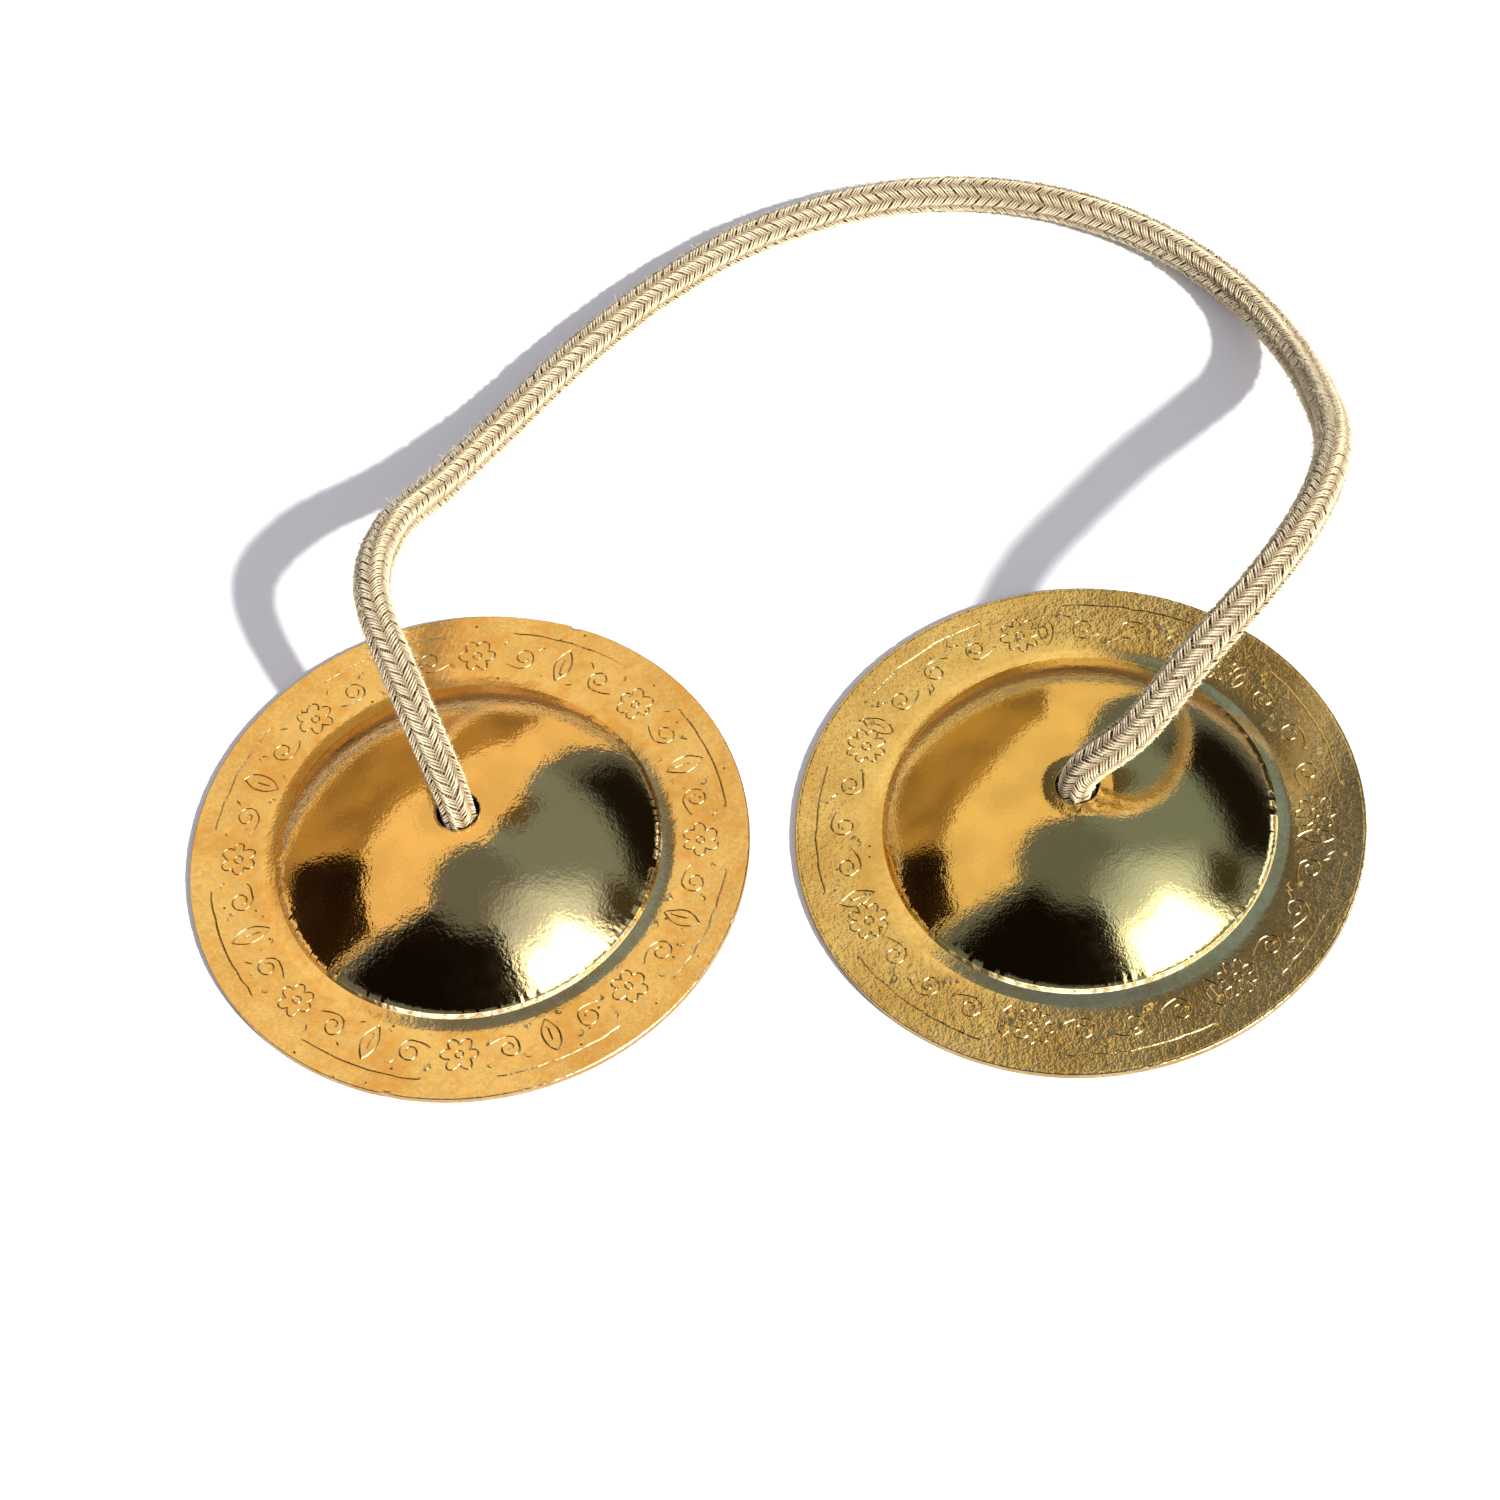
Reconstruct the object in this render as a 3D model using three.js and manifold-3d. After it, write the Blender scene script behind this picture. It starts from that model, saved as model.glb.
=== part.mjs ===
// A pair of small brass hand cymbals, played by striking their rims together.
// Each is one pressed disc: a flat flange that turns up into a domed bell with a hole at its crown.
// One braided cotton cord joins them. It passes down through each crown and ends in an overhand
// knot inside the bell, which is too big for the hole and holds the cymbal on.
// Millimetres, +Z up. The origin is on the table, midway between the cymbals; +X runs to the right one.
import * as THREE from 'three';
import { mergeVertices } from 'three/addons/utils/BufferGeometryUtils.js';
import Module from 'manifold-3d';

const wasm = await Module();
wasm.setup();

// The pressed disc
const rimRadius = 35;
const sheet = 1;
const footRadius = 24.2;
const crownHeight = 10;
const footFillet = 0.6;
const rimRound = 0.22;
const holeRound = 0.25;
const rimGap = 5.6;

// The cord
const cordDiameter = 4.7;
const knotDiameter = 3.3;
const holeClearance = 0.3;
const seatGap = 0.3;
const neckTaper = 2.3;

// How finely the round faces are cut
const discSegments = 64;
const bellSteps = 8;
const filletSteps = 3;
const cordSides = 10;
const cordSteps = 44;
const knotSides = 8;
const knotSteps = 58;
const ballSegments = 12;
const ballRings = 8;
const gapSamples = 400;

// Sizes worked out from the ones above. The bell is part of a sphere that passes through its foot
// and its crown.
const halfSpacing = rimRadius + rimGap / 2;
const cordRadius = cordDiameter / 2;
const knotRadius = knotDiameter / 2;
const holeRadius = cordRadius + holeClearance;
const bellRise = crownHeight - sheet;
const bellRadius = (footRadius ** 2 + bellRise ** 2) / (2 * bellRise);
const bellCentre = crownHeight - bellRadius;
const holeMouth = bellCentre + Math.sqrt(bellRadius ** 2 - holeRadius ** 2);

// The neck of the knot fills the hole up to its mouth. The free cord rests on it with a rounded
// end, as a ball does in a socket, and swings about the middle of that ball.
const pivotHeight = holeMouth + seatGap + cordRadius;

// Where the cord lies, from the left crown to the right one. It stands up out of each hole, falls
// over to the back and lies there on the table. The first and last points are the two pivots.
const route = [
  [-halfSpacing, 0, pivotHeight],
  [-42.8, 10.6, 21.0],
  [-47.6, 24.1, 22.1],
  [-47.0, 37.7, 16.9],
  [-41.5, 50.0, 10.1],
  [-34.4, 62.7, 5.4],
  [-25.1, 74.7, 4.0],
  [-15.2, 84.7, 3.2],
  [-5.2, 92.1, 2.7],
  [4.8, 96.8, 2.4],
  [14.2, 99.1, 2.4],
  [22.8, 99.6, 2.4],
  [30.6, 98.8, 2.4],
  [37.6, 97.0, 2.4],
  [44.1, 94.3, 2.4],
  [50.1, 90.8, 2.4],
  [55.6, 86.3, 2.6],
  [60.5, 80.7, 3.3],
  [64.5, 74.3, 4.7],
  [67.5, 67.1, 7.0],
  [69.5, 59.5, 10.6],
  [70.4, 52.0, 15.4],
  [71.0, 44.0, 20.7],
  [70.4, 35.1, 26.0],
  [67.4, 25.0, 29.9],
  [61.5, 14.6, 31.7],
  [52.8, 6.4, 27.7],
  [44.6, 0.9, 19.4],
  [halfSpacing, 0, pivotHeight],
];

// The overhand knot, about the axis of the hole. The cord comes straight down, turns out along the
// table side, climbs, runs once round its own neck under the bell, crosses over the arm that it
// started with and leaves under the turn as a short tail.
const knotRoute = [
  [0.0, 0.0, 9.0],
  [0.0, 0.0, 7.6],
  [0.0, 0.0, 5.2],
  [1.0, -0.5, 3.1],
  [3.6, -1.5, 2.1],
  [7.4, -1.2, 2.4],
  [9.8, 2.0, 3.7],
  [8.0, 5.6, 5.4],
  [4.1, 6.8, 6.0],
  [0.8, 6.7, 6.2],
  [-2.9, 5.3, 6.2],
  [-5.7, 1.5, 6.1],
  [-4.7, -3.5, 6.2],
  [-0.1, -5.2, 6.6],
  [3.4, -2.7, 6.5],
  [4.6, 0.6, 5.2],
  [4.6, 3.9, 2.9],
  [4.8, 7.0, 2.1],
  [5.2, 9.7, 2.1],
  [6.0, 13.0, 2.0],
];
const rightKnotTurn = THREE.MathUtils.degToRad(205);

// Points of an arc in the profile plane, where x is the distance from the axis and y the height.
function arc(centreX, centreY, radius, from, to, steps) {
  const points = [];
  for (let i = 0; i <= steps; i += 1) {
    const angle = from + ((to - from) * i) / steps;
    points.push(new THREE.Vector2(centreX + radius * Math.cos(angle), centreY + radius * Math.sin(angle)));
  }
  return points;
}

// One face of the sheet from the hole out to the flange. A depth of zero is the upper face, and a
// depth of the sheet's thickness is the lower one, which shares the same arc centres.
function faceOfSheet(depth, innerRadius) {
  const filletHeight = sheet + footFillet;
  const filletReach = bellRadius + footFillet;
  const filletOut = Math.sqrt(filletReach ** 2 - (filletHeight - bellCentre) ** 2);
  const tangent = Math.atan2(filletHeight - bellCentre, filletOut);
  const radius = bellRadius - depth;
  const crown = Math.acos(innerRadius / radius);
  const bell = arc(0, bellCentre, radius, crown, tangent, bellSteps);
  const foot = arc(filletOut, filletHeight, footFillet + depth, tangent - Math.PI, -Math.PI / 2, filletSteps);
  return [...bell, ...foot.slice(1)];
}

// The disc's section, once round: out along the lower face, up the rim and back over the upper
// face. The edges of the rim and the hole are softened, so the cord isn't cut.
function discProfile() {
  const lower = faceOfSheet(sheet, holeRadius);
  const upper = faceOfSheet(0, holeRadius + holeRound).reverse();
  const rim = [
    new THREE.Vector2(rimRadius - rimRound, 0),
    new THREE.Vector2(rimRadius, rimRound),
    new THREE.Vector2(rimRadius, sheet - rimRound),
    new THREE.Vector2(rimRadius - rimRound, sheet),
  ];
  const hole = new THREE.Vector2(holeRadius, upper[upper.length - 1].y - holeRound);
  return [...lower, ...rim, ...upper, hole, lower[0].clone()];
}

// A regular outline whose corners lie on a circle, for the section of a cord.
function roundSection(radius, sides) {
  const corners = [];
  for (let i = 0; i < sides; i += 1) {
    const angle = (2 * Math.PI * i) / sides;
    corners.push(new THREE.Vector2(radius * Math.cos(angle), radius * Math.sin(angle)));
  }
  return new THREE.Shape(corners);
}

// A profile turned about the vertical axis.
function turned(profile, segments) {
  return new THREE.LatheGeometry(profile, segments).rotateX(Math.PI / 2);
}

function curveThrough(points) {
  return new THREE.CatmullRomCurve3(points.map((point) => new THREE.Vector3(...point)));
}

function tube(curve, radius, sides, steps) {
  const options = { steps, extrudePath: curve, bevelEnabled: false };
  return new THREE.ExtrudeGeometry(roundSection(radius, sides), options);
}

// Geometry to a solid that can be joined, and back.
function toSolid(geometry) {
  const bare = geometry.clone();
  bare.deleteAttribute('normal');
  bare.deleteAttribute('uv');
  const merged = mergeVertices(bare);
  const vertProperties = new Float32Array(merged.attributes.position.array);
  const triVerts = new Uint32Array(merged.index.array);
  return new wasm.Manifold(new wasm.Mesh({ numProp: 3, vertProperties, triVerts }));
}

function toGeometry(solid) {
  const mesh = solid.getMesh();
  const geometry = new THREE.BufferGeometry();
  geometry.setAttribute('position', new THREE.BufferAttribute(mesh.vertProperties, 3));
  geometry.setIndex(new THREE.BufferAttribute(mesh.triVerts, 1));
  return geometry;
}

// The free cord: a tube with a ball at each end, on which it swings in the mouth of the hole.
function cordGeometry() {
  const curve = curveThrough(route);
  let solid = toSolid(tube(curve, cordRadius, cordSides, cordSteps));
  for (const end of [route[0], route[route.length - 1]]) {
    const ball = new THREE.SphereGeometry(cordRadius, ballSegments, ballRings);
    ball.translate(...end);
    solid = solid.add(toSolid(ball));
  }
  return toGeometry(solid);
}

// The stopper knot with the neck that fills the hole. Pulled tight, the cord is thinner in the knot
// than it is in the hole, so the neck tapers down to it.
function knotGeometry() {
  const taperTop = holeMouth - sheet;
  const profile = [
    new THREE.Vector2(0, taperTop - neckTaper),
    new THREE.Vector2(knotRadius, taperTop - neckTaper),
    new THREE.Vector2(cordRadius, taperTop),
    new THREE.Vector2(cordRadius, holeMouth),
    new THREE.Vector2(0, holeMouth),
  ];
  const neck = turned(profile, cordSides * 2);
  const turns = tube(curveThrough(knotRoute), knotRadius, knotSides, knotSteps);
  return toGeometry(toSolid(neck).add(toSolid(turns)));
}

// The least gap between two stretches of the knot that are not neighbours along the cord.
function knotGap() {
  const curve = curveThrough(knotRoute);
  const points = curve.getSpacedPoints(gapSamples);
  const apart = Math.ceil((2 * knotDiameter * gapSamples) / curve.getLength());
  let least = Infinity;
  for (let i = 0; i < points.length; i += 1) {
    for (let j = i + apart; j < points.length; j += 1) {
      least = Math.min(least, points[i].distanceTo(points[j]) - knotDiameter);
    }
  }
  return least;
}

function brass(colour) {
  return new THREE.MeshStandardMaterial({ color: colour, metalness: 1, roughness: 0.28 });
}

function cotton() {
  return new THREE.MeshStandardMaterial({ color: 0xd9cfb4, metalness: 0, roughness: 0.95 });
}

function piece(name, geometry, material, x) {
  const mesh = new THREE.Mesh(geometry, material);
  mesh.name = name;
  mesh.position.x = x;
  return mesh;
}

const disc = turned(discProfile(), discSegments);
const knot = knotGeometry();

const pair = new THREE.Group();
pair.add(piece('left_cymbal', disc, brass(0xd6a352), -halfSpacing));
pair.add(piece('right_cymbal', disc.clone(), brass(0xc9ad5c), halfSpacing));
pair.add(piece('left_knot', knot, cotton(), -halfSpacing));
const rightKnot = piece('right_knot', knot.clone(), cotton(), halfSpacing);
rightKnot.rotation.z = rightKnotTurn;
pair.add(rightKnot);
pair.add(piece('cord', cordGeometry(), cotton(), 0));

console.log(`radius of the bell's sphere ${bellRadius.toFixed(2)} mm`);
console.log(`pivots ${pivotHeight.toFixed(2)} mm above the table`);
console.log(`free cord ${curveThrough(route).getLength().toFixed(1)} mm`);
console.log(`cord in each knot ${curveThrough(knotRoute).getLength().toFixed(1)} mm`);
console.log(`least gap of the knot to itself ${knotGap().toFixed(2)} mm`);

export default pair;
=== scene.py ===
# %% [markdown]
# # A pair of small brass hand cymbals
#
# Two pressed brass discs are joined by one braided cotton cord, which is knotted inside each bell.
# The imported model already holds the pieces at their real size, so this lesson only dresses them:
# the braid is made yarn by yarn, and each disc is turned again in a fine mesh with its engraved
# ornament, so that the light catches it as it does on worn brass. One alternative is to paint all
# of this on the plain solids with bump maps, but then the outline of the cord and the cut of the
# graver would be missing from the mesh.

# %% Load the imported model
import math

import bpy
import numpy as np
from mathutils import Matrix, Vector, kdtree, noise
from mathutils.geometry import delaunay_2d_cdt


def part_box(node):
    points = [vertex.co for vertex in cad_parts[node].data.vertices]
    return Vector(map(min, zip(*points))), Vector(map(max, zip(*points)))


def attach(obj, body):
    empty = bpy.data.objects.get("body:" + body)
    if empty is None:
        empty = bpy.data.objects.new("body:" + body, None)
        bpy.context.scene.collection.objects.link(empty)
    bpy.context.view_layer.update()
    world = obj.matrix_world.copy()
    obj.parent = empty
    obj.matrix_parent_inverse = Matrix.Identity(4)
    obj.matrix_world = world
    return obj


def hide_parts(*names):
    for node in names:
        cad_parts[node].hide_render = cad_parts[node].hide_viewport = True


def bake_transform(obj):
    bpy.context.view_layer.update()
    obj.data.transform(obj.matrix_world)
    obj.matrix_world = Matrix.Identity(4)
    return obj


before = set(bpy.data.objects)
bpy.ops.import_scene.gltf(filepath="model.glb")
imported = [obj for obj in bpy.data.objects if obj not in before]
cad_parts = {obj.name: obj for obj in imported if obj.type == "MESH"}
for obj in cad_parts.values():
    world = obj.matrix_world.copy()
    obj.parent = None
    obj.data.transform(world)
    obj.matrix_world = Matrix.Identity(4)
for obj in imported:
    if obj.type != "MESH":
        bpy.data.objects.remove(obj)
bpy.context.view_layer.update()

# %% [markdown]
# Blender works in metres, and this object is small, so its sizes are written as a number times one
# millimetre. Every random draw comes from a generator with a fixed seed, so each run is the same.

mm = 0.001
full_turn = 2 * math.pi
scene = bpy.context.scene

# %% [markdown]
# ## The camera
#
# The photograph looks down on the pair from the front, a little from the right, with the camera
# tipped sideways. Its place was found by fitting both rims, which are true circles of a known size.
# The camera looks along its own -Z, so the matrix holds its right, up and backward directions.

# %% Camera
camera_azimuth = math.radians(8.1)
camera_elevation = math.radians(57.051)
camera_roll = math.radians(-9.38)
camera_distance = 0.5504
camera_target = Vector((-0.002902, 0.013454, 0.0))
camera_lens = 105.46
sensor_width = 36.0
nearest_seen = 10 * mm


def aim_camera():
    back = Vector((
        math.sin(camera_azimuth) * math.cos(camera_elevation),
        -math.cos(camera_azimuth) * math.cos(camera_elevation),
        math.sin(camera_elevation),
    ))
    level_right = Vector((0, 0, 1)).cross(back).normalized()
    level_up = back.cross(level_right)
    right = math.cos(camera_roll) * level_right + math.sin(camera_roll) * level_up
    up = back.cross(right)
    data = bpy.data.cameras.new("camera")
    data.lens = camera_lens
    data.sensor_width = sensor_width
    data.clip_start = nearest_seen
    camera = bpy.data.objects.new("camera", data)
    axes = Matrix((right, up, back)).transposed()
    camera.matrix_world = Matrix.Translation(camera_target + camera_distance * back) @ axes.to_4x4()
    scene.collection.objects.link(camera)
    scene.camera = camera


aim_camera()

# %% [markdown]
# ## The line of the cord
#
# A cord is a soft thing, so its shape starts from one line: where it leaves the left crown, how it
# falls to the table behind, and how it climbs back to the right crown. These points are listed below
# and are the same as in the plain model. Inside each bell the line goes on through an overhand
# knot. One smooth curve runs through all of it, from tail to tail, so that the braid can follow it
# without a break.

# %% Points of the cord and the knot
cord_diameter = 4.7 * mm
knot_turn = math.radians(205)

cord_route = [
    (-0.0378, 0.0, 0.012555), (-0.0428, 0.0106, 0.0210), (-0.0476, 0.0241, 0.0221),
    (-0.0470, 0.0377, 0.0169), (-0.0415, 0.0500, 0.0101), (-0.0344, 0.0627, 0.0054),
    (-0.0251, 0.0747, 0.0040), (-0.0152, 0.0847, 0.0032), (-0.0052, 0.0921, 0.0027),
    (0.0048, 0.0968, 0.0024), (0.0142, 0.0991, 0.0024), (0.0228, 0.0996, 0.0024),
    (0.0306, 0.0988, 0.0024), (0.0376, 0.0970, 0.0024), (0.0441, 0.0943, 0.0024),
    (0.0501, 0.0908, 0.0024), (0.0556, 0.0863, 0.0026), (0.0605, 0.0807, 0.0033),
    (0.0645, 0.0743, 0.0047), (0.0675, 0.0671, 0.0070), (0.0695, 0.0595, 0.0106),
    (0.0704, 0.0520, 0.0154), (0.0710, 0.0440, 0.0207), (0.0704, 0.0351, 0.0260),
    (0.0674, 0.0250, 0.0299), (0.0615, 0.0146, 0.0317), (0.0528, 0.0064, 0.0277),
    (0.0446, 0.0009, 0.0194), (0.0378, 0.0, 0.012555),
]

knot_route = [
    (0.0, 0.0, 0.0076), (0.0, 0.0, 0.0052), (0.0010, -0.0005, 0.0031), (0.0036, -0.0015, 0.0021),
    (0.0074, -0.0012, 0.0024), (0.0098, 0.0020, 0.0037), (0.0080, 0.0056, 0.0054),
    (0.0041, 0.0068, 0.0060), (0.0008, 0.0067, 0.0062), (-0.0029, 0.0053, 0.0062),
    (-0.0057, 0.0015, 0.0061), (-0.0047, -0.0035, 0.0062), (-0.0001, -0.0052, 0.0066),
    (0.0034, -0.0027, 0.0065), (0.0046, 0.0006, 0.0052), (0.0046, 0.0039, 0.0029),
    (0.0048, 0.0070, 0.0021), (0.0052, 0.0097, 0.0021), (0.0060, 0.0130, 0.0020),
]

left_pivot = np.array(cord_route[0])
right_pivot = np.array(cord_route[-1])

# %% [markdown]
# The curve is a centripetal Catmull-Rom curve, which never loops or overshoots between points that
# are unevenly spaced. It is cut into even steps, because the braid counts its stitches by the length
# along the cord. At each crown a real cord can't turn sharply, so the line is eased there.

# %% Curve through the points
step = 0.25 * mm
points_per_stretch = 80
ease_reach = 8.0 * mm
ease_width = 2.6 * mm
ease_steps = 44


def curve_through(points):
    ends = np.vstack([2 * points[0] - points[1], points, 2 * points[-1] - points[-2]])
    pieces = []
    for i in range(1, len(ends) - 2):
        a, b, c, d = ends[i - 1:i + 3]
        ta = 0.0
        tb = ta + np.linalg.norm(b - a) ** 0.5
        tc = tb + np.linalg.norm(c - b) ** 0.5
        td = tc + np.linalg.norm(d - c) ** 0.5
        t = np.linspace(tb, tc, points_per_stretch, endpoint=False)[:, None]
        ab = a + (b - a) * (t - ta) / (tb - ta)
        bc = b + (c - b) * (t - tb) / (tc - tb)
        cd = c + (d - c) * (t - tc) / (td - tc)
        abc = ab + (bc - ab) * (t - ta) / (tc - ta)
        bcd = bc + (cd - bc) * (t - tb) / (td - tb)
        pieces.append(abc + (bcd - abc) * (t - tb) / (tc - tb))
    return np.vstack([*pieces, points[-1:]])


def lengths_along(points):
    return np.concatenate([[0], np.cumsum(np.linalg.norm(np.diff(points, axis=0), axis=1))])


def even_steps(points):
    along = lengths_along(points)
    places = np.linspace(0, along[-1], int(along[-1] / step) + 1)
    return np.stack([np.interp(places, along, points[:, k]) for k in range(3)], axis=1)


def eased(points, middle):
    """Softens the corner of an even line near one place along it."""
    offsets = np.arange(-ease_steps, ease_steps + 1) * step
    weights = np.exp(-0.5 * (offsets / ease_width) ** 2)
    weights /= weights.sum()
    soft = np.stack([np.convolve(points[:, k], weights, mode="same") for k in range(3)], axis=1)
    along = np.arange(len(points)) * step
    share = np.exp(-((along - middle) / ease_reach) ** 2)[:, None]
    share[:ease_steps + 1] = 0
    share[-ease_steps - 1:] = 0
    return points * (1 - share) + soft * share


def knot_points(pivot, turn):
    local = np.array(knot_route)
    c, s = math.cos(turn), math.sin(turn)
    turned = local @ np.array([[c, s, 0], [-s, c, 0], [0, 0, 1]])
    return turned + [pivot[0], pivot[1], 0]


def nearest_length(points, place):
    return step * int(np.argmin(np.linalg.norm(points - place, axis=1)))


whole_route = np.vstack([
    knot_points(left_pivot, 0)[::-1],
    np.array(cord_route),
    knot_points(right_pivot, knot_turn),
])
line = even_steps(curve_through(whole_route))
for crown in (left_pivot, right_pivot):
    line = eased(line, nearest_length(line, crown))
line = even_steps(line)
whole_length = step * (len(line) - 1)
left_length = nearest_length(line, left_pivot)
right_length = nearest_length(line, right_pivot)
print(f"cord {whole_length / mm:.1f} mm in all, {(right_length - left_length) / mm:.1f} mm of it free")

# %% [markdown]
# ## The braid
#
# The cord is a round braid of sixteen bundles: eight wind to the left and eight to the right, and
# each goes over two and under two. That gives the rows of V shapes along the cord. Each bundle is
# three thin yarns side by side. Every yarn is a thin tube of its own here, because the fine shadows
# between the yarns are what makes a cotton cord look soft, and a bump map loses them at the edge.
#
# The sums are simple once the cord is unrolled. Whether a bundle lies on top depends only on its
# angle round the cord: each quarter turn holds one row that leans left and one that leans right.

# %% Sizes of the braid
bundles_each_way = 8
yarns_in_bundle = 3
strand_spacing = 0.278
yarn_lifts = (-0.010 * mm, 0.012 * mm, -0.010 * mm)
stitch_pitch = 1.5 * mm
yarn_width = 0.285 * mm
yarn_thickness = 0.34 * mm
top_radius = cord_diameter / 2 - yarn_thickness / 2 + 0.08 * mm
dip = 0.45 * mm
knot_squeeze = 0.74
twist_per_metre = math.radians(190)
quarter = math.pi / 2

# %% [markdown]
# A thread that winds round a bending line needs two directions square to it at every step. They are
# carried along from step to step and never turned about the line, so that the braid doesn't twist by
# itself. In the knots the cord is pulled tight and gets thinner, and at the two tails it frays.

# %% Directions along the line
squeeze_start = 3.7 * mm
squeeze_stop = 6.5 * mm
hole_squeeze = 0.05
hole_depth = 2.0 * mm
hole_reach = 3.2 * mm
fray_length = 4.0 * mm
fray_swell = 0.55
first_across = (0.3, 0.9, 0.2)


def carried_frames(points):
    tangents = np.gradient(points, axis=0)
    tangents /= np.linalg.norm(tangents, axis=1)[:, None]
    across = np.cross(tangents[0], first_across)
    normals = np.empty_like(points)
    for i, tangent in enumerate(tangents):
        across = across - across.dot(tangent) * tangent
        across /= np.linalg.norm(across)
        normals[i] = across
    return tangents, normals, np.cross(tangents, normals)


tangent_line, normal_line, side_line = carried_frames(line)
places_along = np.arange(len(line)) * step


def at(values, along):
    """Values given at the even steps, read at any lengths along the line."""
    return np.stack([np.interp(along, places_along, values[:, k]) for k in range(3)], axis=1)


def thickness_at(along):
    """1 on the free cord, less in the holes and the knots, and more again where a tail frays."""
    inside = np.minimum(along - left_length, right_length - along)
    share = np.clip((inside + squeeze_stop) / (squeeze_stop - squeeze_start), 0, 1)
    share = share * share * (3 - 2 * share)
    scale = knot_squeeze + (1 - knot_squeeze) * share
    scale = scale - hole_squeeze * np.exp(-((inside + hole_depth) / hole_reach) ** 2)
    tail = np.minimum(along, whole_length - along)
    fray = np.clip(1 - tail / fray_length, 0, 1)
    return scale * (1 + fray_swell * fray ** 2)


# %% [markdown]
# One yarn is a list of rings. Four rings are enough for each quarter turn: three where the yarn lies
# on top and one where it is hidden. Small random shifts stand for the uneven pull of the machine.

# %% Rings of one yarn
ring_places = np.array([0.03, 0.25, 0.47, 0.75])
ring_heights = np.array([0.42, 1.0, 0.42, -0.35])
shift_along = 0.07 * mm
yarn_shift = 0.03 * mm
shift_out = 0.055 * mm
stitches_in_all = int(whole_length / (2 * stitch_pitch))
spare_before = 2
spare_quarters = 6
spare_stitches = 8
braid_random = np.random.default_rng(7)


def yarn_rings(lean, bundle, strand):
    """Length along the cord, angle and height of each ring; lean is 1 or -1."""
    offset = bundle + (strand - 1) * strand_spacing
    quarters = stitches_in_all + spare_quarters
    first = math.floor(lean * offset / 2) - spare_before
    count = np.arange(first, first + quarters)[:, None]
    turns = (count + ring_places).ravel()
    along = stitch_pitch * (2 * turns - lean * offset)
    heights = np.tile(ring_heights, quarters)
    return along, lean * turns * quarter, heights


def uneven(along, shifts):
    """Random shifts, drawn at even marks along the cord, read at any lengths."""
    margin = spare_stitches / 2 * stitch_pitch
    marks = np.linspace(-margin, whole_length + margin, len(shifts))
    return np.interp(along, marks, shifts)


def all_yarns():
    yarns = []
    stitches = stitches_in_all + spare_stitches
    for lean in (1, -1):
        for bundle in range(bundles_each_way):
            slide = braid_random.normal(0, shift_along, stitches)
            for strand in range(yarns_in_bundle):
                along, angle, heights = yarn_rings(lean, bundle, strand)
                along = along + uneven(along, slide + braid_random.normal(0, yarn_shift, stitches))
                lift = uneven(along, braid_random.normal(0, shift_out, stitches * 2))
                lift = lift + yarn_lifts[strand]
                tone = braid_random.uniform(0, 1)
                keep = (along > 0) & (along < whole_length)
                yarns.append((along[keep], angle[keep], heights[keep], lift[keep], tone))
    return yarns


yarns = all_yarns()
print(f"{len(yarns)} yarns, {sum(len(y[0]) for y in yarns)} rings")

# %% [markdown]
# A mesh is made here from arrays of corners, which is much faster than adding faces one by one. The
# helper below also stores numbers on the points, such as the tone of a yarn, so that a material can
# read them later.

# %% Mesh helper


def make_piece(name, corners, faces, material, numbers=(), sharp_angle=None):
    mesh = bpy.data.meshes.new(name)
    mesh.from_pydata(corners.tolist() if hasattr(corners, "tolist") else corners, [], faces)
    mesh.polygons.foreach_set("use_smooth", [True] * len(mesh.polygons))
    for key, values in dict(numbers).items():
        stored = mesh.attributes.new(key, "FLOAT", "POINT")
        stored.data.foreach_set("value", np.asarray(values, np.float32))
    if sharp_angle:
        mesh.set_sharp_from_angle(angle=sharp_angle)
    mesh.materials.append(material)
    mesh.update()
    piece = bpy.data.objects.new(name, mesh)
    scene.collection.objects.link(piece)
    return piece


# %% [markdown]
# The yarns are swept into tubes with four sides. Smooth shading makes so thin a tube look round, and
# the whole cord stays light enough to handle. The same sweep is used for every stretch of the cord:
# the two knots, the two necks and the long free stretch. Neighbours are cut at the same length, so
# their yarns meet end to end.
#
# Shadow falls where yarns touch, and here it is painted into the colour of the cotton. So each corner
# also stores how deep it lies: not at all on the ridge of a yarn, more at its two flanks, and most where
# the yarn dives under its neighbours. The deeper a corner lies, the darker its painted shade.

# %% Sweep the yarns
yarn_sides = 4
flank_shade = 0.48
shade_round_yarn = np.array([0.0, flank_shade, 1.0, flank_shade])


def cut(yarn, start, stop):
    """The rings of a yarn between two lengths, with a new ring exactly at each cut."""
    along, angle, heights, lift, tone = yarn
    inside = (along > start) & (along < stop)
    ends = [x for x in (start, stop) if along[0] < x < along[-1]]
    places = np.sort(np.concatenate([along[inside], ends]))
    if len(places) < 2:
        return None
    return (places, *(np.interp(places, along, v) for v in (angle, heights, lift)), tone)


def sweep(points, outward, width, thickness, sides):
    """Rings of corners round a line of points; outward is the side that faces away from the cord."""
    tangent = np.gradient(points, axis=0)
    tangent /= np.linalg.norm(tangent, axis=1)[:, None]
    across = np.cross(tangent, outward)
    across /= np.linalg.norm(across, axis=1)[:, None]
    out = np.cross(across, tangent)
    turns = full_turn * np.arange(sides) / sides
    rings = (
        points[:, None, :]
        + out[:, None, :] * (np.cos(turns)[None, :, None] * thickness / 2)
        + across[:, None, :] * (np.sin(turns)[None, :, None] * width / 2)
    )
    return rings.reshape(-1, 3)


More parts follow.
